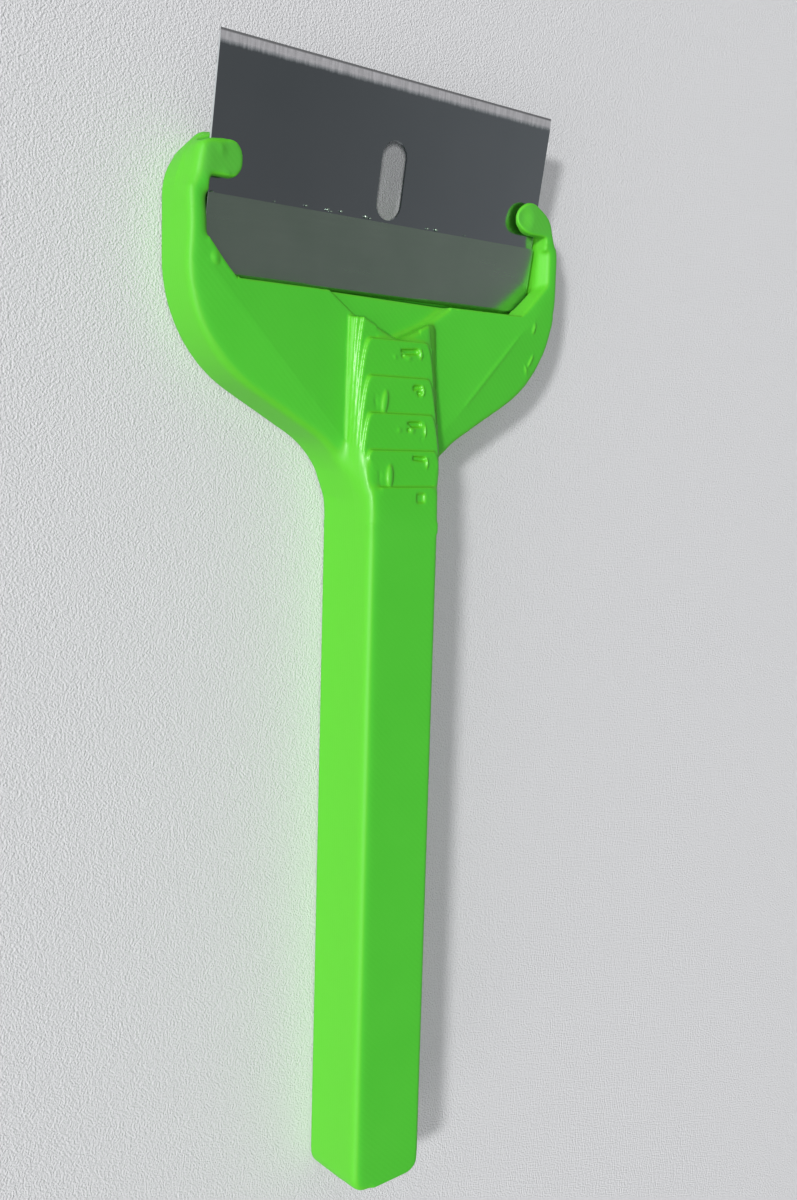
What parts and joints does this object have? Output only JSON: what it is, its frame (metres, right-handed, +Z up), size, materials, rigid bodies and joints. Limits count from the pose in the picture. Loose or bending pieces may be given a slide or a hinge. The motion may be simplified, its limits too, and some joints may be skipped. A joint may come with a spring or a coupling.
{
  "type": "razor blade scraper",
  "caption": "Hand scraper: square bar handle, flared head with two hooked arms, and a straight spined blade that slides out along its pitched pocket.",
  "frame": {"origin": "centre of the bounding box's footprint, on the underside that the part rests on", "axes": "+Y from the handle's end to the cutting edge, +X along the cutting edge, +Z up, out of the face with the terraced nose"},
  "size_m": [0.043, 0.104, 0.0071],
  "materials": {
    "printed_plastic": "satin printed plastic with fine layer lines",
    "blade_steel": "polished, with a brighter ground bevel at the edge",
    "spine_steel": "satin rolled strip"
  },
  "bodies": {
    "holder": {"holder": "printed_plastic"},
    "edge": {"blade": "blade_steel", "blade_spine": "spine_steel"}
  },
  "joints": [
    {"name": "blade_slide", "type": "slide", "parent": "holder", "child": "edge", "axis": [0, 0.986, 0.1668], "range_m": [0, 0.012]}
  ]
}
